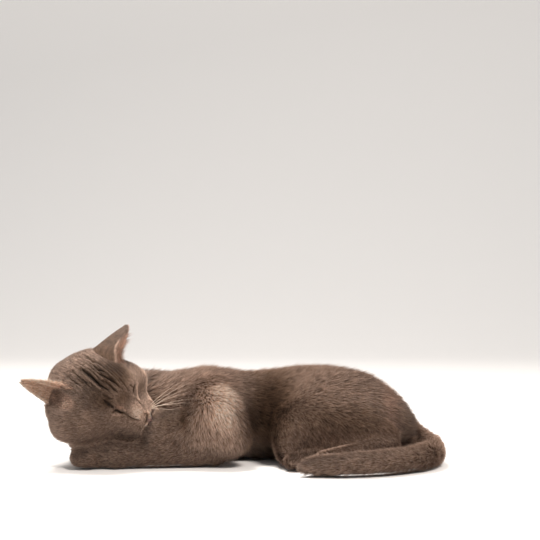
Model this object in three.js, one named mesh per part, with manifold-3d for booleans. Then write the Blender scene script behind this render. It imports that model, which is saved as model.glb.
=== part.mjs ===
// A life-size sleeping cat, lying curled on its right side with its head turned back on its foreleg.
// Millimetres, +Z up, the floor at Z = 0, the belly side towards -Y and the head towards -X.
// The body is one smooth field of round shapes, drawn out to the tips of the coat. The field is meshed
// whole, thinned to few triangles and then parted into its named pieces by thin cuts.
import * as THREE from "three";
import { mergeVertices } from "three/addons/utils/BufferGeometryUtils.js";
import Module from "manifold-3d";

// ---- driving sizes ----
const cutGap = 0.4; // open width left by a cut
const gridStep = 2.6; // spacing of the points at which the field is sampled
const cutStep = 7; // the same for the coarse solids that part the body
const skinGoal = 3800; // triangles of the whole skin, before it is parted
const cutGoal = 56; // triangles of each of those coarse solids
const reach = 18; // how far a coarse solid goes beyond its own piece
const headWeight = 3; // how much finer the head is kept than the body
const headReach = 75; // how far from the middle of the head that holds
const floorSnap = 0.2; // points lower than this lie on the floor
const lying = { low: [-206, -140, -gridStep / 2], high: [262, 122, 176] }; // the space the skin fills

const earLook = { color: 0x8f7e74, roughness: 0.8, metalness: 0 };
const lidLook = { color: 0x7c6a5f, roughness: 0.7, metalness: 0 };
const looks = {
  coat: { color: 0x8a7a6f, roughness: 0.85, metalness: 0 },
  nose: { color: 0x5f4a44, roughness: 0.45, metalness: 0 },
  ear_left: earLook,
  ear_right: earLook,
  eyelid_left: lidLook,
  eyelid_right: lidLook,
};

// ---- the head's own frame: forward to the nose, left ear side, up through the crown ----
const headAt = [-123, -43, 79];
const headForward = new THREE.Vector3(0.86, -0.43, -0.27).normalize();
const headLeft = new THREE.Vector3(0.45, 0.52, 0.71);
headLeft.addScaledVector(headForward, -headLeft.dot(headForward)).normalize();
const headUp = new THREE.Vector3().crossVectors(headForward, headLeft);
const headAxes = [headForward, headLeft, headUp];
const headScale = 1.06;

function inHead(forward, left, up) {
  const p = new THREE.Vector3(...headAt);
  p.addScaledVector(headForward, forward * headScale);
  p.addScaledVector(headLeft, left * headScale);
  p.addScaledVector(headUp, up * headScale);
  return p.toArray();
}

// ---- field shapes: each returns a function that is negative inside ----
function cone(a, b, ra, rb) {
  const d = [b[0] - a[0], b[1] - a[1], b[2] - a[2]];
  const length2 = d[0] * d[0] + d[1] * d[1] + d[2] * d[2];
  return (x, y, z) => {
    const px = x - a[0];
    const py = y - a[1];
    const pz = z - a[2];
    const t = Math.min(1, Math.max(0, (px * d[0] + py * d[1] + pz * d[2]) / length2));
    const qx = px - d[0] * t;
    const qy = py - d[1] * t;
    const qz = pz - d[2] * t;
    return Math.sqrt(qx * qx + qy * qy + qz * qz) - ra - (rb - ra) * t;
  };
}

const worldAxes = [new THREE.Vector3(1, 0, 0), new THREE.Vector3(0, 1, 0), new THREE.Vector3(0, 0, 1)];

function egg(c, r, axes = worldAxes) {
  const [u, v, w] = axes;
  return (x, y, z) => {
    const px = x - c[0];
    const py = y - c[1];
    const pz = z - c[2];
    const a = (px * u.x + py * u.y + pz * u.z) / r[0];
    const b = (px * v.x + py * v.y + pz * v.z) / r[1];
    const d = (px * w.x + py * w.y + pz * w.z) / r[2];
    const k0 = Math.sqrt(a * a + b * b + d * d);
    const k1 = Math.sqrt((a / r[0]) ** 2 + (b / r[1]) ** 2 + (d / r[2]) ** 2);
    return k1 < 1e-9 ? -Math.min(...r) : (k0 * (k0 - 1)) / k1;
  };
}

const headEgg = (f, l, u, r) => egg(inHead(f, l, u), r.map((s) => s * headScale), headAxes);

function softMin(a, b, k) {
  const h = Math.max(k - Math.abs(a - b), 0) / k;
  return Math.min(a, b) - (h * h * k) / 4;
}

function join(k, ...fields) {
  return (x, y, z) => {
    let d = fields[0](x, y, z);
    for (let i = 1; i < fields.length; i++) d = softMin(d, fields[i](x, y, z), k);
    return d;
  };
}

// A tube through several places, each [x, y, z, radius].
function chain(k, places) {
  const parts = [];
  for (let i = 1; i < places.length; i++) {
    const [a, b] = [places[i - 1], places[i]];
    parts.push(cone(a, b, a[3], b[3]));
  }
  return join(k, ...parts);
}

// ---- head ----
const sides = [1, -1];
const skull = join(
  14,
  headEgg(-7, 0, 6, [38, 36, 29]),
  headEgg(3, 0, 8, [27, 31, 25]),
  headEgg(2, 0, -26, [32, 26, 18]),
);
const cheeks = sides.map((s) => cone(inHead(-6, 22 * s, -11), inHead(35, 10 * s, -20), 23, 12));
const muzzle = join(
  6,
  cone(inHead(16, 0, 6), inHead(46, 0, -12), 17, 9),
  ...sides.map((s) => headEgg(38, 9.5 * s, -20, [15, 12, 11.5])),
  headEgg(33, 0, -32, [14, 12, 9]),
);
const lids = sides.map((s) => headEgg(23, 17.5 * s, 5, [9.5, 11, 9.5]));
const jowl = egg([-147, -44, 56], [41, 36, 33]);
const occiput = egg([-148, -30, 86], [36, 34, 37]);
const ruff = egg([-99, -16, 87], [23, 30, 24]);
const head = join(8, join(14, skull, occiput, jowl, ruff, ...cheeks), muzzle, join(4, ...lids));

// ---- neck, trunk and haunch ----
const neck = chain(16, [
  [-146, -12, 74, 32],
  [-126, 26, 60, 37],
  [-88, 44, 54, 41],
  [-30, 40, 52, 46],
]);
const haunchTurn = THREE.MathUtils.degToRad(-15);
const haunchAxes = worldAxes.map((a) => a.clone().applyAxisAngle(worldAxes[2], haunchTurn));
const ribs = egg([-10, 36, 49], [66, 62, 49]);
const shoulder = egg([-4, 26, 57.5], [50, 42, 38]);
const belly = egg([48, 50, 45], [76, 62, 46]);
const haunchRound = egg([106, 28, 56], [124, 68, 58], haunchAxes);
const haunchHigh = egg([106, 28, 30], [116, 62, 75], haunchAxes);
const hips = (x, y, z) => -softMin(-haunchHigh(x, y, z), -haunchRound(x, y, z), 10);

// ---- legs ----
// A foot from its wrist or hock to its toes: four toes side by side under a rounded back.
function foot(from, to, across, radius, toeCount = 4) {
  const a = new THREE.Vector3(...from);
  const b = new THREE.Vector3(...to);
  const side = new THREE.Vector3(...across).normalize();
  const ahead = b.clone().sub(a).normalize();
  const toes = [];
  for (let i = 0; i < toeCount; i++) {
    const off = i - (toeCount - 1) / 2;
    const middle = 1 - Math.abs(off) / toeCount;
    const p = b.clone().addScaledVector(side, off * radius * 0.62);
    p.addScaledVector(ahead, radius * 0.55 * middle);
    const back = p.clone().addScaledVector(ahead, -radius * 0.9);
    toes.push(cone(back.toArray(), p.toArray(), radius * 0.5, radius * 0.46));
  }
  return join(5, cone(from, to, radius, radius * 0.86), join(1.6, ...toes));
}

const frontLeft = {
  upper: cone([-8, 2, 62], [-2, -38, 54], 34, 29),
  elbow: cone([2, -38, 50], [16, -44, 36], 27, 22),
  lower: cone([12, -48, 30], [-30, -50, 35], 17, 13),
  paw: foot([-38, -47, 50], [-62, -52, 42], [0.1, 0.55, 0.8], 14.5),
};
const frontRight = {
  lower: cone([-6, -34, 19.2], [-104, -50, 14.2], 20, 15),
  paw: foot([-106, -50, 14.2], [-142, -50, 12], [0, 1, 0.1], 15),
};
const hindLeft = {
  thigh: egg([131, -6, 52], [61, 44, 48]),
  shank: cone([84, -32, 40], [178, -46, 32], 27, 16),
  foot: foot([180, -56, 22], [112, -84, 11.2], [0.4, 0.9, 0], 14),
};
const hindRight = {
  shank: cone([80, -40, 18.2], [170, -46, 13.2], 19, 14),
  foot: foot([150, -62, 12], [82, -66, 10], [0, 1, 0], 12.5),
};

// ---- tail: from the rump round the hind end and along in front of the feet ----
const tailLine = [
  [180, 44, 38, 24],
  [216, 26, 21, 17.5],
  [231, -18, 15, 14.5],
  [219, -62, 14, 14],
  [180, -97, 13.5, 13.5],
  [134, -112, 12, 12.5],
  [96, -110, 9.6, 10.3],
];
const tailCurve = new THREE.CatmullRomCurve3(tailLine.map(([x, y, z]) => new THREE.Vector3(x, y, z)));
const tailSteps = 32;
function tailPlace(t) {
  const p = tailCurve.getPoint(t);
  const s = t * (tailLine.length - 1);
  const i = Math.min(tailLine.length - 2, Math.floor(s));
  const radius = THREE.MathUtils.lerp(tailLine[i][3], tailLine[i + 1][3], s - i);
  return [p.x, p.y, p.z, radius];
}
const tailLengths = 4;
const tailPieces = Array.from({ length: tailLengths }, (_, n) => {
  const steps = tailSteps / tailLengths;
  return chain(4, Array.from({ length: steps + 1 }, (_, i) => tailPlace((n * steps + i) / tailSteps)));
});
const tail = join(4, ...tailPieces);

const torso = join(18, neck, join(20, ribs, belly, hips), shoulder);
const hindBody = join(16, torso, hindLeft.thigh, join(16, hindLeft.shank, hindRight.shank));
const foreBody = join(9, hindBody, join(14, frontLeft.upper, frontLeft.elbow), frontRight.lower);
const limbs = join(5, frontLeft.lower, hindLeft.foot, hindRight.foot);
const bodyField = join(6, foreBody, limbs, join(2, frontLeft.paw, frontRight.paw), tail);

// The head sinks softly into the nape but keeps a crease where the cheek lies on the chest.
const wholeField = (x, y, z) => Math.max(softMin(head(x, y, z), bodyField(x, y, z), 6), -z);

// ---- meshing: marching through the six tetrahedra of each grid cell ----
const cellTetrahedra = [
  [0, 5, 1, 6], [0, 1, 2, 6], [0, 2, 3, 6],
  [0, 3, 7, 6], [0, 7, 4, 6], [0, 4, 5, 6],
];
const cellCorners = [
  [0, 0, 0], [1, 0, 0], [1, 1, 0], [0, 1, 0],
  [0, 0, 1], [1, 0, 1], [1, 1, 1], [0, 1, 1],
];

function sample(field, low, high, step) {
  const n = low.map((l, i) => Math.ceil((high[i] - l) / step) + 1);
  const values = new Float32Array(n[0] * n[1] * n[2]);
  let g = 0;
  for (let k = 0; k < n[2]; k++)
    for (let j = 0; j < n[1]; j++)
      for (let i = 0; i < n[0]; i++) {
        values[g] = field(low[0] + i * step, low[1] + j * step, low[2] + k * step);
        g++;
      }
  return { n, low, step, values };
}

function march({ n, low, step, values: sampled }) {
  const values = sampled.map((d) => (Math.abs(d) < 0.02 ? -0.02 : d)); // off the grid's own points
  const at = (i, j, k) => i + n[0] * (j + n[1] * k);
  const points = [];
  const triangles = [];
  const known = new Map();
  const total = values.length;
  const place = (g) => {
    const i = g % n[0];
    const j = Math.floor(g / n[0]) % n[1];
    const k = Math.floor(g / (n[0] * n[1]));
    return [low[0] + i * step, low[1] + j * step, low[2] + k * step];
  };
  function crossing(a, b) {
    const key = a < b ? a * total + b : b * total + a;
    let id = known.get(key);
    if (id === undefined) {
      const t = values[a] / (values[a] - values[b]);
      const p = place(a);
      const q = place(b);
      id = points.length / 3;
      points.push(p[0] + (q[0] - p[0]) * t, p[1] + (q[1] - p[1]) * t, p[2] + (q[2] - p[2]) * t);
      known.set(key, id);
    }
    return id;
  }
  for (let k = 0; k < n[2] - 1; k++)
    for (let j = 0; j < n[1] - 1; j++)
      for (let i = 0; i < n[0] - 1; i++) {
        const g = cellCorners.map(([a, b, c]) => at(i + a, j + b, k + c));
        const inside = g.reduce((s, v) => s + (values[v] < 0 ? 1 : 0), 0);
        if (inside === 0 || inside === 8) continue;
        for (const t of cellTetrahedra) {
          const corners = t.map((c) => g[c]);
          const within = corners.filter((c) => values[c] < 0);
          const without = corners.filter((c) => values[c] >= 0);
          if (!within.length || !without.length) continue;
          let ring;
          if (within.length === 1) ring = without.map((c) => crossing(within[0], c));
          else if (without.length === 1) ring = within.map((c) => crossing(c, without[0]));
          else ring = [
            crossing(within[0], without[0]),
            crossing(within[0], without[1]),
            crossing(within[1], without[1]),
            crossing(within[1], without[0]),
          ];
          const outward = centre(without.map(place)).sub(centre(within.map(place)));
          const [a, b, c] = ring.map((v) => new THREE.Vector3().fromArray(points, v * 3));
          const facing = b.sub(a).cross(c.sub(a)).dot(outward);
          if (facing < 0) ring.reverse();
          for (let m = 2; m < ring.length; m++) triangles.push(ring[0], ring[m - 1], ring[m]);
        }
      }
  return { points: Float64Array.from(points), triangles: Uint32Array.from(triangles) };
}

function centre(list) {
  const sum = new THREE.Vector3();
  for (const p of list) sum.add(new THREE.Vector3(...p));
  return sum.divideScalar(list.length);
}

// ---- thinning: the cheapest edges are folded into one point until the goal is met ----
// Each point carries the summed squares of its distances to the planes around it, as ten numbers.
function planeSum(n, offset, weight) {
  const [a, b, c, d] = [n.x, n.y, n.z, offset];
  return [a * a, a * b, a * c, a * d, b * b, b * c, b * d, c * c, c * d, d * d].map((v) => v * weight);
}

function misfit(q, x, y, z) {
  return q[0] * x * x + q[4] * y * y + q[7] * z * z + q[9]
    + 2 * (q[1] * x * y + q[2] * x * z + q[5] * y * z + q[3] * x + q[6] * y + q[8] * z);
}

function bestPlace(q, p, r) {
  const m = new THREE.Matrix3().set(q[0], q[1], q[2], q[1], q[4], q[5], q[2], q[5], q[7]);
  const middle = p.clone().add(r).multiplyScalar(0.5);
  const size = m.elements[0] + m.elements[4] + m.elements[8];
  if (Math.abs(m.determinant()) > 1e-4 * size ** 3) {
    const best = new THREE.Vector3(-q[3], -q[6], -q[8]).applyMatrix3(m.invert());
    if (best.distanceTo(middle) < 1.5 * p.distanceTo(r)) return best;
  }
  const costs = [p, r, middle].map((v) => [misfit(q, v.x, v.y, v.z), v]);
  return costs.sort((a, b) => a[0] - b[0])[0][1].clone();
}

class Heap {
  items = [];
  push(item) {
    const h = this.items;
    let i = h.push(item) - 1;
    while (i > 0) {
      const up = (i - 1) >> 1;
      if (h[up].cost <= h[i].cost) break;
      [h[up], h[i]] = [h[i], h[up]];
      i = up;
    }
  }
  pop() {
    const h = this.items;
    const top = h[0];
    const last = h.pop();
    if (!h.length) return top;
    h[0] = last;
    for (let i = 0; ;) {
      let least = i;
      for (const c of [2 * i + 1, 2 * i + 2]) if (c < h.length && h[c].cost < h[least].cost) least = c;
      if (least === i) return top;
      [h[least], h[i]] = [h[i], h[least]];
      i = least;
    }
  }
}

function thin({ points, triangles }, goal, weightAt) {
  const count = points.length / 3;
  const at = Array.from({ length: count }, (_, i) => new THREE.Vector3().fromArray(points, 3 * i));
  const sums = at.map(() => new Array(10).fill(0));
  const faces = [];
  const around = at.map(() => new Set());
  for (let t = 0; t < triangles.length; t += 3) {
    const f = [triangles[t], triangles[t + 1], triangles[t + 2]];
    const [a, b, c] = f.map((v) => at[v]);
    const n = b.clone().sub(a).cross(c.clone().sub(a));
    const area = n.length() / 2;
    n.normalize();
    const s = planeSum(n, -n.dot(a), area * weightAt(a));
    for (const v of f) {
      around[v].add(faces.length);
      for (let i = 0; i < 10; i++) sums[v][i] += s[i];
    }
    faces.push(f);
  }
  const version = new Uint32Array(count);
  const heap = new Heap();
  const neighbours = (v) => {
    const set = new Set();
    for (const f of around[v]) for (const w of faces[f]) if (w !== v) set.add(w);
    return set;
  };
  const offer = (a, b) => {
    const q = sums[a].map((v, i) => v + sums[b][i]);
    const to = bestPlace(q, at[a], at[b]);
    const shortness = 1e-4 * at[a].distanceToSquared(at[b]);
    const cost = misfit(q, to.x, to.y, to.z) + shortness;
    heap.push({ cost, a, b, to, q, va: version[a], vb: version[b] });
  };
  for (let v = 0; v < count; v++) for (const w of neighbours(v)) if (v < w) offer(v, w);
  const ab = new THREE.Vector3();
  const ac = new THREE.Vector3();
  const before = new THREE.Vector3();
  const after = new THREE.Vector3();
  const flips = (v, other, to) => {
    for (const f of around[v]) {
      const face = faces[f];
      if (face.includes(other)) continue;
      const [p, q, r] = face.map((w) => at[w]);
      before.crossVectors(ab.subVectors(q, p), ac.subVectors(r, p));
      const [p2, q2, r2] = face.map((w) => (w === v ? to : at[w]));
      after.crossVectors(ab.subVectors(q2, p2), ac.subVectors(r2, p2));
      if (before.dot(after) < 0.25 * before.length() * after.length()) return true;
      if (after.lengthSq() < 1e-6) return true;
    }
    return false;
  };
  let left = faces.length;
  while (left > goal && heap.items.length) {
    const { a, b, to, q, va, vb } = heap.pop();
    if (version[a] !== va || version[b] !== vb || !around[a].size || !around[b].size) continue;
    const [na, nb] = [neighbours(a), neighbours(b)];
    let shared = 0;
    for (const v of na) if (nb.has(v)) shared++;
    if (shared !== 2 || flips(a, b, to) || flips(b, a, to)) continue;
    at[a] = to;
    sums[a] = q;
    for (const f of around[b]) {
      if (faces[f].includes(a)) {
        for (const v of faces[f]) around[v].delete(f);
        faces[f] = null;
        left--;
      } else {
        faces[f] = faces[f].map((v) => (v === b ? a : v));
        around[a].add(f);
      }
    }
    around[b].clear();
    version[a]++;
    version[b]++;
    for (const v of neighbours(a)) offer(a, v);
  }
  const renumber = new Map();
  const kept = [];
  const rows = faces.filter(Boolean).map((f) => f.map((v) => {
    if (!renumber.has(v)) {
      renumber.set(v, renumber.size);
      kept.push(...at[v].toArray());
    }
    return renumber.get(v);
  }));
  return { points: Float64Array.from(kept), triangles: Uint32Array.from(rows.flat()) };
}

// ---- ears: leaf-shaped scoops whose section is an open horseshoe ----
function ear({ base, tip, open, halfWidth, depth }) {
  const root = new THREE.Vector3(...base);
  const axis = new THREE.Vector3(...tip).sub(root);
  const along = axis.clone().normalize();
  const front = new THREE.Vector3(...open);
  front.addScaledVector(along, -front.dot(along)).normalize();
  const side = new THREE.Vector3().crossVectors(along, front);
  const [across, tall] = [8, 7];
  const rootShare = 0.3; // how far the scoop goes on below the head's surface, as a share of its height
  const wall = 3.4;
  const place = (i, j, inner) => {
    const v = -rootShare + (0.975 + rootShare) * (j / tall);
    const up = Math.max(0, v);
    const spread = THREE.MathUtils.degToRad(THREE.MathUtils.lerp(118, 84, up ** 0.7));
    const angle = spread * (2 * (i / across) - 1);
    const leaf = Math.max(0, 1 - up) ** 0.52 * (0.86 + 0.16 * up);
    const thick = inner ? wall * (1 - 0.5 * up) * (0.45 + 0.55 * Math.cos(angle / 2) ** 2) : 0;
    const w = Math.max(0.6, halfWidth * leaf - thick);
    const d = Math.max(0.4, depth * leaf * (1 - 0.55 * up) - thick);
    const p = root.clone().addScaledVector(axis, v - (inner ? 0.02 * up : 0));
    p.addScaledVector(front, 0.25 * depth * up * up); // the tip leans a little over the opening
    p.addScaledVector(side, w * Math.sin(angle));
    return p.addScaledVector(front, -d * Math.cos(angle) - (inner ? 0 : 0.35 * wall)).toArray();
  };
  const rows = [];
  for (const inner of [false, true])
    for (let j = 0; j <= tall; j++) for (let i = 0; i <= across; i++) rows.push(place(i, j, inner));
  const id = (i, j, inner) => i + (across + 1) * (j + (inner ? tall + 1 : 0));
  const triangles = [];
  const quad = (a, b, c, d) => triangles.push(a, b, c, a, c, d);
  for (let j = 0; j < tall; j++)
    for (let i = 0; i < across; i++) {
      quad(id(i, j, false), id(i, j + 1, false), id(i + 1, j + 1, false), id(i + 1, j, false));
      quad(id(i, j, true), id(i + 1, j, true), id(i + 1, j + 1, true), id(i, j + 1, true));
    }
  for (let j = 0; j < tall; j++) {
    quad(id(0, j, false), id(0, j, true), id(0, j + 1, true), id(0, j + 1, false));
    quad(id(across, j, false), id(across, j + 1, false), id(across, j + 1, true), id(across, j, true));
  }
  for (let i = 0; i < across; i++) {
    quad(id(i, 0, false), id(i + 1, 0, false), id(i + 1, 0, true), id(i, 0, true));
    quad(id(i, tall, false), id(i, tall, true), id(i + 1, tall, true), id(i + 1, tall, false));
  }
  return { points: Float64Array.from(rows.flat()), triangles: Uint32Array.from(triangles) };
}

const ears = {
  left: {
    base: inHead(-8, 27, 22),
    tip: [-100.5, -6, 151.3],
    halfWidth: 22,
    depth: 15,
    open: headForward.clone().multiplyScalar(0.35).sub(headUp).toArray(),
  },
  right: {
    base: inHead(-16, -28, 15),
    tip: [-209.5, -52, 97.3],
    halfWidth: 18,
    depth: 11,
    open: [-0.1, -1, -0.25],
  },
};

// ---- solids ----
const wasm = await Module();
wasm.setup();

function solid({ points, triangles }) {
  const made = new wasm.Manifold(new wasm.Mesh({
    numProp: 3, vertProperties: Float32Array.from(points), triVerts: triangles,
  }));
  return made.volume() < 0 ? solid({ points, triangles: triangles.slice().reverse() }) : made;
}

// ---- the whole skin ----
const headMiddle = new THREE.Vector3(...headAt);
const nearHead = (p) => (p.distanceTo(headMiddle) < headReach ? headWeight : 1);
const skin = thin(march(sample(wholeField, lying.low, lying.high, gridStep)), skinGoal, nearHead);
for (let i = 2; i < skin.points.length; i += 3) {
  if (skin.points[i] < floorSnap) skin.points[i] = 0;
}

// ---- parting ----
function closed(geometry) {
  const shape = mergeVertices(geometry.deleteAttribute("uv").deleteAttribute("normal"));
  return {
    points: Float64Array.from(shape.attributes.position.array),
    triangles: Uint32Array.from(shape.index.array),
  };
}

// A coarse egg in the head's own frame.
function headLump(place, radii) {
  const shape = new THREE.SphereGeometry(1, 10, 7).scale(...radii);
  const turn = new THREE.Matrix4().makeBasis(...headAxes).setPosition(...inHead(...place));
  return closed(shape.applyMatrix4(turn));
}

// The same solid with every face moved outwards by the width of a cut.
function grown({ points, triangles }) {
  const count = points.length / 3;
  const at = Array.from({ length: count }, (_, i) => new THREE.Vector3().fromArray(points, 3 * i));
  const normals = at.map(() => []);
  for (let t = 0; t < triangles.length; t += 3) {
    const [a, b, c] = [0, 1, 2].map((i) => at[triangles[t + i]]);
    const n = b.clone().sub(a).cross(c.clone().sub(a)).normalize();
    for (let i = 0; i < 3; i++) normals[triangles[t + i]].push(n);
  }
  const moved = at.map((p, v) => {
    const mean = normals[v].reduce((sum, n) => sum.add(n), new THREE.Vector3()).normalize();
    const least = Math.max(0.4, Math.min(...normals[v].map((n) => n.dot(mean))));
    return p.clone().addScaledVector(mean, cutGap / least).toArray();
  });
  return { points: Float64Array.from(moved.flat()), triangles };
}

// The order in which the pieces are cut off, each with the shape that it belongs to.
const regions = [
  ["forepaw_left", frontLeft.paw],
  ["forepaw_right", frontRight.paw],
  ["hind_foot_left", hindLeft.foot],
  ["hind_foot_right", hindRight.foot],
  ...tailPieces.map((piece, i) => [`tail_${i + 1}`, piece]).reverse(),
  ["forearm_left", frontLeft.lower],
  ["forearm_right", frontRight.lower],
  ["upper_foreleg_left", join(14, frontLeft.upper, frontLeft.elbow)],
  ["shank_left", hindLeft.shank],
  ["shank_right", hindRight.shank],
  ["thigh_left", hindLeft.thigh],
  ["head", head],
  ["neck", neck],
  ["chest", join(20, ribs, shoulder)],
  ["belly", belly],
  ["hips", hips],
];
const cutLow = lying.low.map((v) => v - reach - cutStep);
const cutHigh = lying.high.map((v) => v + reach + cutStep);
const sampled = regions.map(([, field]) => sample(field, cutLow, cutHigh, cutStep));

// The space nearer to one region than to any that is still uncut, as a coarse closed solid.
function territory(index) {
  const own = sampled[index];
  const others = sampled.slice(index + 1).map((other) => other.values);
  const values = own.values.map((d, g) => {
    let least = Infinity;
    for (const other of others) least = Math.min(least, other[g]);
    return Math.max((d - least) / 2, d - reach);
  });
  return thin(march({ ...own, values }), cutGoal, () => 1);
}

const largest = (body) => body.decompose().sort((a, b) => b.volume() - a.volume())[0];
const pieces = {};
let rest = solid(skin);
function take(name, cutter) {
  pieces[name] = largest(rest.intersect(solid(cutter)));
  rest = rest.subtract(solid(grown(cutter)));
}
take("nose", headLump([51, 0, -15], [6, 6.5, 5.5]));
take("eyelid_left", headLump([31, 18, 5], [6, 9.5, 7]));
take("eyelid_right", headLump([31, -18, 5], [6, 9.5, 7]));
regions.slice(0, -1).forEach(([name], i) => take(name, territory(i)));
pieces.hips = largest(rest);

const grownSkin = solid(grown(skin));
pieces.ear_left = largest(solid(ear(ears.left)).subtract(grownSkin));
pieces.ear_right = largest(solid(ear(ears.right)).subtract(grownSkin));

// ---- the cat: the middle of its lying area is at X = Y = 0 ----
const extent = new THREE.Box3();
for (const { points } of [skin, ear(ears.left), ear(ears.right)]) {
  extent.union(new THREE.Box3().setFromArray(points));
}
const middle = extent.getCenter(new THREE.Vector3());
const cat = new THREE.Group();
cat.name = "sleeping_cat";
for (const [name, body] of Object.entries(pieces)) {
  const { vertProperties, triVerts } = body.getMesh();
  const geometry = new THREE.BufferGeometry();
  geometry.setAttribute("position", new THREE.BufferAttribute(vertProperties, 3));
  geometry.setIndex(new THREE.BufferAttribute(triVerts, 1));
  geometry.translate(-middle.x, -middle.y, 0);
  geometry.computeVertexNormals();
  const piece = new THREE.Mesh(geometry, new THREE.MeshStandardMaterial(looks[name] ?? looks.coat));
  piece.name = name;
  cat.add(piece);
}

export default cat;
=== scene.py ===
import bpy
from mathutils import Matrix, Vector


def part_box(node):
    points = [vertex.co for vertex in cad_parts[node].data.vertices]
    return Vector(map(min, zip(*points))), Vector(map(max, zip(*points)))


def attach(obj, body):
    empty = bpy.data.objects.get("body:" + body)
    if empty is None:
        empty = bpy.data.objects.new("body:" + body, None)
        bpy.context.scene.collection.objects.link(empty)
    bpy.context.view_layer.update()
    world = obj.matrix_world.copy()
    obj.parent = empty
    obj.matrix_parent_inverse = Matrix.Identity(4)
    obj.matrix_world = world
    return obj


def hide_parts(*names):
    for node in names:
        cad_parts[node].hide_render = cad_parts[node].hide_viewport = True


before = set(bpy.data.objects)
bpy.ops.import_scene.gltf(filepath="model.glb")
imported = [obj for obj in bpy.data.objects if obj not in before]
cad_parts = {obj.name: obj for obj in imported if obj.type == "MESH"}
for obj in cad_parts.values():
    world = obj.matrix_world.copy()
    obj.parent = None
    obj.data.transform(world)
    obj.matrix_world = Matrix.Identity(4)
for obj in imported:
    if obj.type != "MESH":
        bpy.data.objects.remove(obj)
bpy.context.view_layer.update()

import math
import time

import bmesh
import bpy
import numpy as np
from mathutils import Vector
from mathutils.bvhtree import BVHTree

startTime = time.time()


def report(stage):
    print(f"{stage} ({time.time() - startTime:.1f} s)")


# The head's own frame: forward to the nose, left, and up through the crown.
headPlan = {
    "forward": Vector((0.86, -0.43, -0.27)),
    "left": Vector((0.45, 0.52, 0.71)),
    "scale": 1.06,
    "fromNose": Vector((-0.04915, 0.01128, 0.02494)),  # from the nose's middle to the head's
}
headForward = headPlan["forward"].normalized()
headLeft = (headPlan["left"] - headForward * headPlan["left"].dot(headForward)).normalized()
headUp = headForward.cross(headLeft)


def middleOf(node):
    low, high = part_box(node)
    return (low + high) / 2


headAt = middleOf("nose") + headPlan["fromNose"]
headTurn = np.array([headForward, headLeft, headUp])


def headPoint(forward, left, up):
    along = headForward * forward + headLeft * left + headUp * up
    return headAt + along * headPlan["scale"] / 1000


def inHead(points):  # millimetres along forward, left and up
    return (points - np.array(headAt)) @ headTurn.T * 1000 / headPlan["scale"]


# meshes as arrays, one row for each point
def pointsOf(mesh):
    co = np.empty(len(mesh.vertices) * 3, np.float32)
    mesh.vertices.foreach_get("co", co)
    return co.reshape(-1, 3).astype(np.float64)


def normalsOf(mesh):
    normals = np.empty(len(mesh.vertices) * 3, np.float32)
    mesh.vertex_normals.foreach_get("vector", normals)
    return normals.reshape(-1, 3).astype(np.float64)


def setPoints(mesh, co):
    mesh.vertices.foreach_set("co", co.astype(np.float32).ravel())
    mesh.update()


def edgesOf(mesh):
    edges = np.empty(len(mesh.edges) * 2, np.int32)
    mesh.edges.foreach_get("vertices", edges)
    return edges.reshape(-1, 2)


def spread(values, edges, steps, share=0.5):  # each round moves a value towards its neighbours' mean
    count = len(values)
    degree = np.bincount(edges.ravel(), minlength=count).clip(1)
    flat = values.reshape(count, -1).copy()
    share = np.broadcast_to(np.asarray(share, float).reshape(-1, 1), (count, 1))
    for _ in range(steps):
        total = np.stack([
            np.bincount(edges[:, 0], flat[edges[:, 1], c], count)
            + np.bincount(edges[:, 1], flat[edges[:, 0], c], count)
            for c in range(flat.shape[1])
        ], axis=1)
        flat += share * (total / degree[:, None] - flat)
    return flat.reshape(values.shape)


def unit(vectors):
    return vectors / np.linalg.norm(vectors, axis=-1, keepdims=True).clip(1e-9)


def ramp(x, low, high):  # 0 below low, 1 above high, smooth between
    t = np.clip((x - low) / (high - low), 0, 1)
    return t * t * (3 - 2 * t)


def softPatch(points, middle, radii):  # 1 at the middle, fading to 0 a little past the radii
    reach = np.linalg.norm((points - np.array(middle)) / np.array(radii), axis=1)
    return np.exp(-(reach ** 2))


def bell(gap, width):
    return np.exp(-((gap / width) ** 2))


def addValues(mesh, name, values):
    kind = "FLOAT" if values.ndim == 1 else "FLOAT_VECTOR"
    layer = mesh.attributes.new(name, kind, "POINT")
    layer.data.foreach_set("value" if kind == "FLOAT" else "vector", values.astype(np.float32).ravel())


def newObject(name, mesh):
    made = bpy.data.objects.new(name, mesh)
    bpy.context.scene.collection.objects.link(made)
    return made


def meshFrom(name, points, faces, smooth=True):
    mesh = bpy.data.meshes.new(name)
    mesh.from_pydata([tuple(p) for p in points], [], [tuple(f) for f in faces])
    mesh.validate()
    mesh.update()
    if smooth:
        mesh.shade_smooth()
    return mesh


def linear(hexColour):  # sRGB hex to linear, with an alpha of 1
    parts = [int(hexColour[i:i + 2], 16) / 255 for i in (1, 3, 5)]
    curved = [c / 12.92 if c <= 0.04045 else ((c + 0.055) / 1.055) ** 2.4 for c in parts]
    return (*curved, 1.0)


def perMetre(sizeMm):  # the scale of a pattern whose features are sizeMm across
    return 1000 / sizeMm


def addNode(tree, kind, settings=None, links=None):  # settings: properties or socket values, by name
    node = tree.nodes.new(kind)
    for key, value in (settings or {}).items():
        if isinstance(key, str) and hasattr(node, key):
            setattr(node, key, value)
        else:
            node.inputs[key].default_value = value
    for key, source in (links or {}).items():
        socket = source if isinstance(source, bpy.types.NodeSocket) else source.outputs[0]
        tree.links.new(socket, node.inputs[key])
    return node


def newMaterial(name):
    material = bpy.data.materials.new(name)
    material.use_nodes = True
    material.node_tree.nodes.clear()
    return material, material.node_tree


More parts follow.
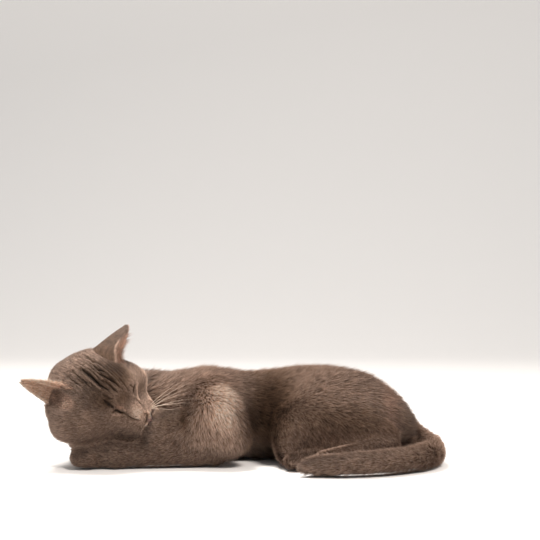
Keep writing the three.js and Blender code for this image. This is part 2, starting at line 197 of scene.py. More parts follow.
# The skin: every piece of flesh but the ears, as one surface under the coat. Sizes in m where not said.
skinPlan = {
    "push": 0.0005,  # closes the thin cuts between the pieces
    "voxel": 0.0024,
    "smoothSteps": 24,
    "smoothShare": 0.6,
    "blendSteps": 8,  # how far one piece's softness runs into the next
    "filled": ("hips", "thigh_left", "belly", "chest", "neck", "upper_foreleg_left", "shank_left"),
    "fillSteps": 90,
    "mostFill": 0.006,
    "floorGap": 0.0004,
    # for each piece of the body: depth of the coat in mm, and how much of the smoothing it takes
    "pieces": {
        "head": (4.2, 0.22), "nose": (0.6, 0.12), "eyelid_left": (1.3, 0.15), "eyelid_right": (1.3, 0.15),
        "neck": (6.0, 0.9), "chest": (6.5, 1.0), "belly": (6.5, 1.0), "hips": (6.5, 1.0),
        "upper_foreleg_left": (5.5, 0.8), "forearm_left": (3.2, 0.5), "forepaw_left": (2.0, 0.22),
        "forearm_right": (3.2, 0.6), "forepaw_right": (2.0, 0.22), "thigh_left": (6.0, 0.9),
        "shank_left": (4.0, 0.8), "hind_foot_left": (2.0, 0.25), "shank_right": (3.5, 0.6),
        "hind_foot_right": (2.0, 0.25), "tail_1": (6.0, 0.7), "tail_2": (5.0, 0.5), "tail_3": (4.6, 0.5),
        "tail_4": (4.2, 0.4),
    },
}


def joinedFlesh():
    bm = bmesh.new()
    for name in skinPlan["pieces"]:
        bm.from_mesh(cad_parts[name].data)
    bmesh.ops.remove_doubles(bm, verts=bm.verts, dist=0.00001)
    bm.normal_update()
    moves = [v.normal * skinPlan["push"] for v in bm.verts]
    for v, move in zip(bm.verts, moves):
        v.co += move
    mesh = bpy.data.meshes.new("flesh")
    bm.to_mesh(mesh)
    bm.free()
    flesh = newObject("flesh", mesh)
    remesh = flesh.modifiers.new("voxels", "REMESH")
    remesh.mode = "VOXEL"
    remesh.voxel_size = skinPlan["voxel"]
    shaped = bpy.data.meshes.new_from_object(flesh.evaluated_get(bpy.context.evaluated_depsgraph_get()))
    bpy.data.objects.remove(flesh)
    return shaped


def nearestPieces(points):  # for each point, the index of the CAD piece that it belongs to
    names = list(skinPlan["pieces"])
    corners, triangles, owner = [], [], []
    for index, name in enumerate(names):
        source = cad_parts[name].data
        base = len(corners)
        corners += [v.co.copy() for v in source.vertices]
        for polygon in source.polygons:
            triangles.append([base + i for i in polygon.vertices])
            owner.append(index)
    tree = BVHTree.FromPolygons(corners, triangles)
    return names, np.array([owner[tree.find_nearest(Vector(p))[2]] for p in points])


skinMesh = joinedFlesh()
pieceNames, pieceIndex = nearestPieces(pointsOf(skinMesh))
softness = np.array([skinPlan["pieces"][n][1] for n in pieceNames])[pieceIndex]
skinEdges = edgesOf(skinMesh)
softness = spread(softness, skinEdges, skinPlan["blendSteps"])
smoothShare = skinPlan["smoothShare"]
smoothed = spread(pointsOf(skinMesh), skinEdges, skinPlan["smoothSteps"], smoothShare * softness)
smoothed[:, 2] = smoothed[:, 2].clip(0, None)
setPoints(skinMesh, smoothed)

# the coat bridges the creases where one piece of the body meets the next: they are filled, and nothing is
# worn down
isFilled = np.isin(pieceIndex, [pieceNames.index(n) for n in skinPlan["filled"]])
fillShare = spread(isFilled.astype(float), skinEdges, skinPlan["blendSteps"])
rounded = spread(smoothed, skinEdges, skinPlan["fillSteps"], smoothShare * fillShare)
outward = normalsOf(skinMesh)
fill = ((rounded - smoothed) * outward).sum(1).clip(0, skinPlan["mostFill"])
fill = spread(fill, skinEdges, 6) * fillShare
setPoints(skinMesh, smoothed + outward * fill[:, None])
report(f"flesh joined and its facets smoothed: {len(skinMesh.vertices)} points")


def finer(mesh, wanted):  # cuts each face in four where wanted(middle in the head's frame)
    bm = bmesh.new()
    bm.from_mesh(mesh)
    middles = inHead(np.array([f.calc_center_median() for f in bm.faces]))
    chosen = wanted(middles)
    edges = {e for f, take in zip(bm.faces, chosen) if take for e in f.edges}
    bmesh.ops.subdivide_edges(bm, edges=list(edges), cuts=1, use_grid_fill=True)
    bmesh.ops.triangulate(bm, faces=[f for f in bm.faces if len(f.verts) > 4])
    bm.to_mesh(mesh)
    bm.free()


def nearHead(middles):  # inside an egg round the head, in mm
    return np.linalg.norm((middles - np.array([2, -2, -2])) / np.array([58, 52, 48]), axis=1) < 1


def onFace(middles):
    upperFace = (middles[:, 0] > -28) & (middles[:, 2] > 12) & (np.abs(middles[:, 1]) < 26)
    muzzle = (middles[:, 0] > 24) & (middles[:, 2] > -26) & (np.abs(middles[:, 1]) < 30)
    return nearHead(middles) & (upperFace | muzzle)


finer(skinMesh, nearHead)
finer(skinMesh, onFace)
pieceNames, pieceIndex = nearestPieces(pointsOf(skinMesh))
skinEdges = edgesOf(skinMesh)
outerPoints = pointsOf(skinMesh)
headCoords = inHead(outerPoints)
outerPoints = spread(outerPoints, skinEdges, 4, np.where(nearHead(headCoords), 0.5, 0))
setPoints(skinMesh, outerPoints)
outerNormals = normalsOf(skinMesh)
headCoords = inHead(outerPoints)
report(f"head made finer: {len(skinMesh.vertices)} points")

# The face is worked on the outer surface, in the head's own frame.
# Each line on the face has a half width and relief in mm, a change of tone, a share of hair lost, and the
# points that it runs through, in mm forward, left and up. The darkening along the furrows, the fine lines,
# the streaks, the grooves and noseSide is painted shade in the crease, and browShade is a painted shadow
# under the brow; the lightening along the ridges and cheekLeft is a painted highlight.
faceLinesAndPaintedLight = {
    "furrowWide": (1.3, -2.8, -0.85, 0.95, [(-14, -1, 36), (0, -5, 36), (14, -9, 33), (22, -8, 28)]),
    "furrowLong": (1.05, -2.4, -0.8, 0.95, [(8, 1, 36), (14, 1, 34), (24, 2, 28), (28, 1, 23)]),
    "furrowInner": (1.05, -2.2, -0.75, 0.9, [(14, -3, 33), (21, -4, 30), (29, -4, 22)]),
    "furrowUpper": (1.0, -2.2, -0.75, 0.9, [(-7, 8, 36), (4, 5, 36), (12, 6, 34)]),
    "furrowLeft": (1.1, -2.2, -0.75, 0.9, [(-24, 17, 32), (-9, 12, 35), (2, 12, 35)]),
    "furrowLeftBack": (0.9, -1.5, -0.6, 0.7, [(-31, 23, 27), (-22, 20, 30)]),
    "furrowRight": (1.1, -2.4, -0.8, 0.95, [(-22, -6, 35), (-11, -10, 35), (2, -13, 34)]),
    "furrowRightLow": (1.0, -2.2, -0.8, 0.9, [(-23, -13, 33), (-12, -16, 33), (-2, -18, 33)]),
    "furrowBrow": (1.1, -1.8, -0.65, 0.7, [(21, -14, 27), (25, -14, 22), (28, -11, 20)]),
    "furrowEyeLeft": (0.8, -1.3, -0.55, 0.6, [(24, 8, 26), (27, 8, 23), (33, 6, 14)]),
    "furrowEyeCorner": (0.8, -1.3, -0.5, 0.5, [(31, 12, 15), (34, 13, 10)]),
    "furrowCrown": (0.7, -0.9, -0.35, 0.4, [(-42, -2, 30), (-28, -8, 34), (-16, -9, 35)]),
    "furrowCrownLeft": (0.7, -0.9, -0.35, 0.4, [(-36, 6, 31), (-22, 4, 35), (-12, 4, 36)]),
    "fineOne": (0.7, -1.3, -0.5, 0.5, [(-18, 3, 36), (-2, 1, 36), (10, -3, 35)]),
    "fineTwo": (0.7, -1.2, -0.5, 0.5, [(-30, -10, 32), (-16, -13, 34)]),
    "fineThree": (0.7, -1.2, -0.5, 0.5, [(-12, -12, 34), (6, -15, 33)]),
    "fineFour": (0.7, -1.3, -0.5, 0.5, [(-18, 13, 34), (-4, 9, 36)]),
    "fineFive": (0.7, -1.3, -0.5, 0.5, [(16, 3, 33), (30, 2, 20)]),
    "fineSix": (0.7, -1.1, -0.45, 0.5, [(-34, 12, 31), (-20, 12, 33)]),
    "fineSeven": (0.7, -1.1, -0.45, 0.5, [(0, 17, 33), (12, 14, 32)]),
    "fineEight": (0.7, -1.1, -0.45, 0.5, [(-28, 2, 34), (-15, 0, 36)]),
    "ridgeOne": (1.1, 0.9, 0.6, 0.0, [(-10, 3, 36), (10, -2, 35), (22, -5, 29)]),
    "ridgeTwo": (1.1, 0.9, 0.6, 0.0, [(-16, -6, 36), (2, -10, 35), (16, -12, 31)]),
    "ridgeThree": (1.0, 0.7, 0.5, 0.0, [(-20, 10, 34), (0, 9, 36), (18, 5, 32)]),
    "browShade": (2.3, -2.2, -0.85, 0.75, [(22, -18, 23), (27, -18, 18), (30, -17, 14)]),
    "browSpot": (1.2, 0.3, 0.7, 0.0, [(27, -20, 16), (29, -19, 15)]),
    "eyeRight": (1.1, -2.6, -0.96, 1.0,
                 [(31, -20, 11), (32, -17, 11), (33, -16, 9), (34, -15, 5), (36, -12, 1)]),
    "grooveRight": (0.9, -1.2, -0.6, 0.6, [(36, -12, 1), (40, -11, -4), (45, -10, -7), (50, -7, -9)]),
    "lidUpperRight": (1.1, 0.8, 0.7, 0.2, [(30, -21, 14), (32, -14, 13), (35, -11, 8), (37, -10, 3)]),
    "lidLowerRight": (1.1, 0.8, 1.4, 0.2, [(31, -22, 9), (33, -18, 6), (34, -16, 2)]),
    "eyeLeft": (1.05, -2.2, -0.95, 1.0, [(33, 16, 10), (34, 12, 9), (35, 8, 8)]),
    "lidLowerLeft": (1.2, 0.9, 1.7, 0.2, [(33, 20, 8), (34, 15, 6), (35, 11, 3), (39, 8, 2), (41, 7, 1)]),
    "cornerLeft": (0.8, 0.4, 0.6, 0.2, [(36, 6, 8), (38, 6, 6)]),
    "grooveLeft": (0.8, -1.0, -0.5, 0.5, [(39, 6, 4), (42, 5, 1), (45, 5, -2), (50, 2, -5)]),
    "noseSide": (0.9, -1.3, -0.95, 0.8, [(53, 0, -8), (54, -3, -11), (53, -5, -13)]),
    "lipLeft": (1.5, 0.9, 2.0, 0.0, [(53, 2, -8), (54, 1, -11), (54, -1, -14), (54, -5, -15)]),
    "padLeft": (1.6, 0.6, 1.0, 0.0, [(49, 12, -12), (51, 8, -11), (53, 3, -10)]),
    "streakOne": (0.8, -1.3, -0.5, 0.6, [(-27, -49, 15), (-22, -45, 18)]),
    "streakTwo": (0.8, -1.3, -0.5, 0.6, [(-21, -51, 14), (-15, -46, 18)]),
    "streakThree": (0.8, -1.3, -0.5, 0.6, [(-15, -53, 13), (-9, -48, 17)]),
    "streakFour": (0.8, -1.3, -0.5, 0.6, [(-8, -52, 14), (-5, -49, 16)]),
    "cheekLeft": (2.2, 1.0, 1.5, 0.0,
                  [(19, 46, -11), (23, 42, -12), (26, 40, -15), (30, 33, -15), (44, 18, -12)]),
}
outerTree = BVHTree.FromPolygons([Vector(point) for point in outerPoints],
                                 [list(polygon.vertices) for polygon in skinMesh.polygons])


def alongLine(corners, step=0.8):  # points every step mm, each brought onto the surface
    found = []
    for a, b in zip(corners[:-1], corners[1:]):
        pieces = max(1, round((Vector(b) - Vector(a)).length / step))
        found += [Vector(a).lerp(Vector(b), i / pieces) for i in range(pieces)]
    found.append(Vector(corners[-1]))
    return np.array([outerTree.find_nearest(headPoint(*p))[0] for p in found])


def gapTo(line):  # for each point of the head, its distance to the line in mm, and how far along it is
    gap, where = np.full(len(outerPoints), 99.0), np.zeros(len(outerPoints))
    close = np.flatnonzero(nearHead(headCoords * 0.92))
    offsets = np.linalg.norm(outerPoints[close][:, None] - line[None], axis=2) * 1000
    gap[close] = offsets.min(1)
    where[close] = offsets.argmin(1) / (len(line) - 1)
    return gap, where


headPieces = ("head", "nose", "eyelid_left", "eyelid_right")
isHead = np.isin(pieceIndex, [pieceNames.index(n) for n in headPieces])
headShare = spread(isHead.astype(float), skinEdges, 6)
forward, left, up = headCoords.T
relief, faceLightShadeAndMarks, hairLost, slit = (np.zeros(len(outerPoints)) for _ in range(4))
for name, (width, raised, toneChange, lost, corners) in faceLinesAndPaintedLight.items():
    gap, where = gapTo(alongLine(corners))
    taper = 0.45 + 0.55 * np.sin(np.pi * where) ** 0.7 if raised < 0 else 1.0
    weight = bell(gap, width * taper) * isHead
    relief += raised * weight
    # the tone adds painted shade along the creases and a painted highlight along the ridges, with the eyes'
    # and lids' own marks
    faceLightShadeAndMarks += np.log(1 + toneChange) * weight
    hairLost = np.maximum(hairLost, lost * weight)
    if name.startswith("eye"):
        slit = np.maximum(slit, weight)

# fine wrinkles between the furrows, all running to the root of the nose; their tone follows the ripple, as
# painted shade in each trough and a painted highlight on each crest
wrinklePlan = {"spacing": 3.1, "relief": 0.65, "tone": 0.5, "slant": 0.26}  # spacing and relief in mm
onBrow = bell(forward + 8, 30) * ramp(up, 14, 24) * bell(left, 23)
across = left + wrinklePlan["slant"] * forward
bend = 0.8 * np.sin(forward * 0.21) + 0.5 * np.sin(left * 0.7)
ripple = np.sin(across * 2 * np.pi / wrinklePlan["spacing"] + bend)
relief += wrinklePlan["relief"] * ripple * onBrow
faceLightShadeAndMarks += wrinklePlan["tone"] * ripple * onBrow

# broad rises and hollows of the skull: middle, radii and relief in mm, in the model's frame
skullShape = {
    "crownBehind": ((-185, -36, 119), (15, 26, 12), -2.8, isHead),
    "crownByEar": ((-154, -28, 127), (11, 18, 11), 3.2, isHead),
    "jawBehindEar": ((-209, -38, 47), (15, 34, 19), -7.0, 1),
}
worldMm = outerPoints * 1000
for middle, radii, raised, where in skullShape.values():
    relief += raised * softPatch(worldMm, middle, radii) * where

# the hollow in front of the right ear's canal, bare and pink, in mm
bowlPlan = {"deep": 2.4, "reach": (20, 7.5, 6), "furLost": 0.6, "coatLost": 0.55}
reach = bowlPlan["reach"]
bowlReach = np.sqrt(((forward + 20) / reach[0]) ** 2 + ((left + 35) / reach[1]) ** 2
                    + (np.maximum(0, 8 - up) / reach[2]) ** 2)
bowl = (1 - ramp(bowlReach, 0.7, 1.15)) * isHead
relief -= bowlPlan["deep"] * (1 - ramp(bowlReach, 0.1, 1.15)) * isHead
# round the hollow: middle and radius in mm, and how many times lighter or darker; the three darker ones are
# painted shade under the ear's rim and in the notch at its side, and the lighter one is the pale band of bare
# flesh
bowlTones = [
    ((-26, -31, 24), 7, 0.5), ((-12, -26, 29), 7, 0.6), ((-33, -41, 17), 5, 0.35), ((-11, -35, 24), 8.5, 2.5),
]
for middle, radius, times in bowlTones:
    faceLightShadeAndMarks += np.log(times) * softPatch(headCoords, middle, radius)

# depth of the coat in mm: on the head it is thinnest on the muzzle, and deeper to the nape, the cheeks and
# the throat
coatDepth = np.array([skinPlan["pieces"][n][0] for n in pieceNames])[pieceIndex]
faceDepth = 0.75 + 0.9 * (1 - ramp(forward, -6, 30)) + 1.0 * (1 - ramp(forward, -40, -12))
faceDepth += 1.6 * ramp(np.abs(left), 20, 38) + 1.5 * ramp(-up, 0, 24)
coatDepth = np.where(isHead, np.minimum(faceDepth, 5.0), coatDepth)
coatDepth = spread(coatDepth, skinEdges, 14)
coatDepth *= (1 - 0.6 * slit) * (1 - bowlPlan["coatLost"] * bowl)

skinPoints = outerPoints - outerNormals * ((coatDepth - relief) / 1000)[:, None]
skinPoints[:, 2] = skinPoints[:, 2].clip(skinPlan["floorGap"], None)
setPoints(skinMesh, skinPoints)
skinMesh.shade_smooth()
skinNormals = normalsOf(skinMesh)
report("face worked and skin sunk under the coat")

# The lie of the coat: which way the hair points on each piece, blended over the joins.
centre = {name: np.array(middleOf(name)) for name in pieceNames}
nextPiece = {
    "neck": "chest", "chest": "belly", "belly": "hips", "hips": "tail_1", "tail_1": "tail_2",
    "tail_2": "tail_3", "tail_3": "tail_4", "forearm_left": "forepaw_left", "forearm_right": "forepaw_right",
    "shank_left": "hind_foot_left", "shank_right": "hind_foot_right",
}
lieOf = {name: centre[after] - centre[name] for name, after in nextPiece.items()}
lieOf.update({
    "tail_4": centre["tail_4"] - centre["tail_3"],
    "forepaw_left": centre["forepaw_left"] - centre["forearm_left"],
    "forepaw_right": centre["forepaw_right"] - centre["forearm_right"],
    "hind_foot_left": centre["hind_foot_left"] - centre["shank_left"],
    "hind_foot_right": centre["hind_foot_right"] - centre["shank_right"],
    "upper_foreleg_left": np.array([0.45, -0.25, -0.8]),
    "forearm_left": np.array([0.2, -0.3, -0.85]),
    "thigh_left": np.array([0.93, -0.1, -0.3]),
    "hips": np.array([0.95, -0.1, -0.26]),
    "neck": np.array([0.8, 0.35, -0.1]),
    "chest": np.array([0.85, -0.1, -0.35]),
    "belly": np.array([0.8, -0.2, -0.5]),
})
for name in headPieces:
    lieOf[name] = -np.array(headForward)
lie = unit(np.array([lieOf[n] for n in pieceNames]))[pieceIndex]
fromNose = unit(skinPoints - np.array(headPoint(54, 0, -6)))
lie = lie * (1 - headShare[:, None]) + fromNose * headShare[:, None]
for _ in range(6):
    lie = spread(lie, skinEdges, 12)
    lie -= skinNormals * (lie * skinNormals).sum(1, keepdims=True)
    lie = unit(lie)
report("lie of the coat laid out")

# Light and dark painted into the coat, the same on skin and hair, as soft patches. On the body most are
# painted
# light and shade: elbow, elbowEdge, elbowTop and the top of the haunch are painted highlights, and the belly
# fold, the gap by the paw, the paw, the haunch's front, low on the haunch and low on the rump are painted
# shade;
# rumpBand is the coat's own tan band, and backTop darkens the top of the back.
# Each has its middle and radii in mm, and how many times lighter or darker it is.
bodyMarksAndPaintedLight = {
    "elbow": ((-17, -43, 74), (29, 50, 32), 4.2),
    "elbowEdge": ((-4, -55, 60), (12, 40, 20), 1.25),
    "pawGap": ((-51, -51, 55), (4, 25, 10), 0.35),
    "fold": ((28, -10, 63), (21, 45, 38), 0.14),
    "elbowTop": ((-28, -20, 88), (17, 26, 13), 1.75),
    "haunch": ((130, -30, 92), (60, 60, 26), 1.18),
    "haunchLow": ((118, -45, 54), (50, 40, 17), 0.52),
    "haunchFront": ((74, -38, 62), (20, 40, 22), 0.9),
    "rumpLow": ((182, -15, 50), (16, 45, 22), 0.72),
    "rumpBand": ((163, -20, 73), (11, 45, 30), 1.25),
    "forepaw": ((-69, -47, 58), (20, 30, 14), 0.6),
    "backTop": ((65, 0, 116), (110, 60, 18), 0.78),
}
# on the head, painted light and shade: a painted highlight on the nose bridge, the crown and the right cheek,
# painted shade on the brows, between the eyes and on the front of the left cheek; whole lightens the head
# evenly
facePaintedLightPatches = {
    "whole": ((10, 0, 10), (120, 120, 120), 1.22),
    "bridge": ((46, -4, -3), (9, 6, 9), 4.3),
    "browRight": ((20, -20, 22), (12, 9, 10), 0.46),
    "browLeft": ((18, 16, 27), (14, 11, 12), 0.14),
    "cheekFront": ((34, 25, -2), (10, 9, 10), 0.5),
    "crown": ((-30, 0, 33), (16, 24, 14), 1.35),
    "brow": ((6, -3, 36), (24, 16, 11), 0.28),
    "betweenEyes": ((33, -3, 14), (9, 10, 9), 0.48),
    "cheekRight": ((10, -36, 16), (16, 10, 10), 1.3),
    "cheekLow": ((-18, -50, 15), (16, 8, 8), 1.15),
}
toneAndPaintedLightLog = faceLightShadeAndMarks.copy()
for middle, radii, times in bodyMarksAndPaintedLight.values():
    toneAndPaintedLightLog += np.log(times) * softPatch(worldMm, middle, radii) * (1 - headShare)
for middle, radii, times in facePaintedLightPatches.values():
    toneAndPaintedLightLog += np.log(times) * softPatch(headCoords, middle, radii) * headShare


def tintOf(tone, tan):  # darker is browner, as in the coat; tan turns it towards bare warm skin
    dark, light = np.minimum(tone, 0)[:, None], np.maximum(tone, 0)[:, None]
    tint = np.exp(dark * np.array([0.87, 1.0, 1.17]) + light * np.array([0.98, 1.0, 1.02]))
    return tint * (1 + tan[:, None] * (np.array([1.75, 1.25, 1.05]) - 1))


rump, eyeCorner = bodyMarksAndPaintedLight["rumpBand"], [(32, -14, 13), (35, -11, 8)]
tanShare = 0.2 * bowl + 0.25 * softPatch(worldMm, rump[0], rump[1])
tanShare += 0.25 * bell(gapTo(alongLine(eyeCorner))[0], 2)
tint = tintOf(toneAndPaintedLightLog, tanShare)

# the bare nose pad: middle and size in mm in the head's frame, with its depth and width against its height
nosePlan = {"middle": (55.0, -0.5, -15.5), "stretch": (1.4, 1.15, 1.0), "radius": 4.3, "dome": 0.9,
            "nostril": 1.5, "groove": 0.5, "nostrilApart": 2.2, "wall": 0.0012, "pebbleMm": 0.714}
furShare = (1 - hairLost) * (1 - bowlPlan["furLost"] * bowl)
fromPad = headCoords - np.array(nosePlan["middle"])
noseGap = np.linalg.norm(fromPad / np.array(nosePlan["stretch"]), axis=1)
furShare *= ramp(noseGap, 3.3, 4.2)
lyingFlat = (outerPoints[:, 2] < 0.002) & (outerNormals[:, 2] < -0.5)
furShare[lyingFlat] = 0
# tint holds the coat's markings together with its painted light and shade
addValues(skinMesh, "tint", tint)
addValues(skinMesh, "lie", lie)
addValues(skinMesh, "bare", bowl)
addValues(skinMesh, "coatDepth", coatDepth / 1000)
skin = newObject("skin", skinMesh)


def unwrap(target):  # an unwrap of the piece's own shape, which places each tuft's patch
    bpy.context.view_layer.objects.active = target
    target.select_set(True)
    bpy.ops.object.mode_set(mode="EDIT")
    bpy.ops.mesh.select_all(action="SELECT")
    bpy.ops.uv.smart_project(angle_limit=math.radians(72), island_margin=0.002)
    bpy.ops.object.mode_set(mode="OBJECT")
    target.select_set(False)
    target.data.uv_layers[0].name = "OFBake"


unwrap(skin)
report("skin unwrapped")

coatPlan = {
    "root": "#32241b",
    "middle": "#6e584a",
    "tip": "#a99182",
    "skin": "#33241b",
    "pink": "#a87e66",
    "roughness": 0.75,
    "sheen": 0.02,
    "patchMm": 6.67,  # the light and dark flecks of the coat
    "patchRange": (0.6, 1.4),
    "tuftRange": (0.2, 1.85),
    "brightest": (0.85, 0.76, 0.68),
    "grainMm": 1.11,  # real skin is finer grained: drawn this coarse, so that it shows
}


# Short plush hair of a plain grey-brown cat, dark at the root and pale at the tip. It gives the eye a matt,
# deep surface, whose tufts differ in tone.
def coatMaterial(name, plan):
    material, tree = newMaterial(name)
    along = addNode(tree, "ShaderNodeAttribute", {"attribute_name": "along"})
    tuft = addNode(tree, "ShaderNodeAttribute", {"attribute_name": "tuft"})
    tint = addNode(tree, "ShaderNodeAttribute", {"attribute_name": "tint"})
    colours = addNode(tree, "ShaderNodeValToRGB", None, {0: along.outputs["Fac"]})
    stops = colours.color_ramp.elements
    stops[0].color, stops[0].position = linear(plan["root"]), 0.05
    stops[1].color, stops[1].position = linear(plan["tip"]), 1.0
    stops.new(0.55).color = linear(plan["middle"])
    place = addNode(tree, "ShaderNodeTexCoord")
    patches = addNode(tree, "ShaderNodeTexNoise", {"Scale": perMetre(plan["patchMm"]), "Detail": 3.0},
                      {"Vector": place.outputs["Object"]})
    patchLow, patchHigh = plan["patchRange"]
    patchTone = addNode(tree, "ShaderNodeMapRange", {"To Min": patchLow, "To Max": patchHigh},
                        {"Value": patches})
    tuftLow, tuftHigh = plan["tuftRange"]
    tuftTone = addNode(tree, "ShaderNodeMapRange", {"To Min": tuftLow, "To Max": tuftHigh},
                       {"Value": tuft.outputs["Fac"]})
    both = addNode(tree, "ShaderNodeMath", {"operation": "MULTIPLY"}, {0: patchTone, 1: tuftTone})
    # the tint brings in the markings and the painted light and shade of the coat
    marked = addNode(tree, "ShaderNodeVectorMath", {"operation": "MULTIPLY"},
                     {0: colours, 1: tint.outputs["Vector"]})
    scaled = addNode(tree, "ShaderNodeVectorMath", {"operation": "SCALE"}, {0: marked, "Scale": both})
    capped = addNode(tree, "ShaderNodeVectorMath", {"operation": "MINIMUM", 1: plan["brightest"]},
                     {0: scaled})
    shader = addNode(tree, "ShaderNodeBsdfPrincipled", {
        "Roughness": plan["roughness"], "Sheen Weight": plan["sheen"], "Sheen Roughness": 0.4,
        "Specular IOR Level": 0.12,
    }, {"Base Color": capped})
    addNode(tree, "ShaderNodeOutputMaterial", None, {"Surface": shader})
    return material


# Bare skin, dark and finely wrinkled. It shows only in the furrows between tufts, as a matt shadow, and in
# the ear's hollow, where it is pink.
def skinMaterial(name, plan):
    material, tree = newMaterial(name)
    tint = addNode(tree, "ShaderNodeAttribute", {"attribute_name": "tint"})
    bare = addNode(tree, "ShaderNodeAttribute", {"attribute_name": "bare"})
    place = addNode(tree, "ShaderNodeTexCoord")
    grain = addNode(tree, "ShaderNodeTexNoise", {"Scale": perMetre(plan["grainMm"]), "Detail": 4.0},
                    {"Vector": place.outputs["Object"]})
    mottle = addNode(tree, "ShaderNodeMapRange", {"To Min": 0.7, "To Max": 1.3}, {"Value": grain})
    kind = addNode(tree, "ShaderNodeMix",
                   {"data_type": "RGBA", "A": linear(plan["skin"]), "B": linear(plan["pink"])},
                   {"Factor": bare.outputs["Fac"]})
    # the tint brings in the markings and the painted light and shade, the same as on the hair
    marked = addNode(tree, "ShaderNodeVectorMath", {"operation": "MULTIPLY"},
                     {0: kind.outputs["Result"], 1: tint.outputs["Vector"]})
    scaled = addNode(tree, "ShaderNodeVectorMath", {"operation": "SCALE"}, {0: marked, "Scale": mottle})
    relief = addNode(tree, "ShaderNodeBump", {"Strength": 0.5, "Distance": 0.0004}, {"Height": grain})
    shader = addNode(tree, "ShaderNodeBsdfPrincipled", {"Roughness": 0.75},
                     {"Base Color": scaled, "Normal": relief})
    addNode(tree, "ShaderNodeOutputMaterial", None, {"Surface": shader})
    return material


shortCoat = coatMaterial("shortDenseCatFur", coatPlan)
furrySkin = skinMaterial("catSkinUnderFur", coatPlan)
skinMesh.materials.append(furrySkin)


# one tuft: a spike of three faces, its open end down in the skin
def spikeMesh():
    corners = [(0.12, -0.5, 0), (0.12, 0.5, 0), (-0.2, 0, 0), (0.1, 0, 1)]
    mesh = meshFrom("tuft", corners, [(0, 1, 3), (1, 2, 3), (2, 0, 3)])
    addValues(mesh, "along", np.array([0.0, 0.0, 0.0, 1.0]))
    addValues(mesh, "patchPlace", np.array([(0, 0, 0), (1, 0, 0), (0.5, 0.35, 0), (0.5, 1, 0)], float))
    return mesh


spike = newObject("tuftShape", spikeMesh())


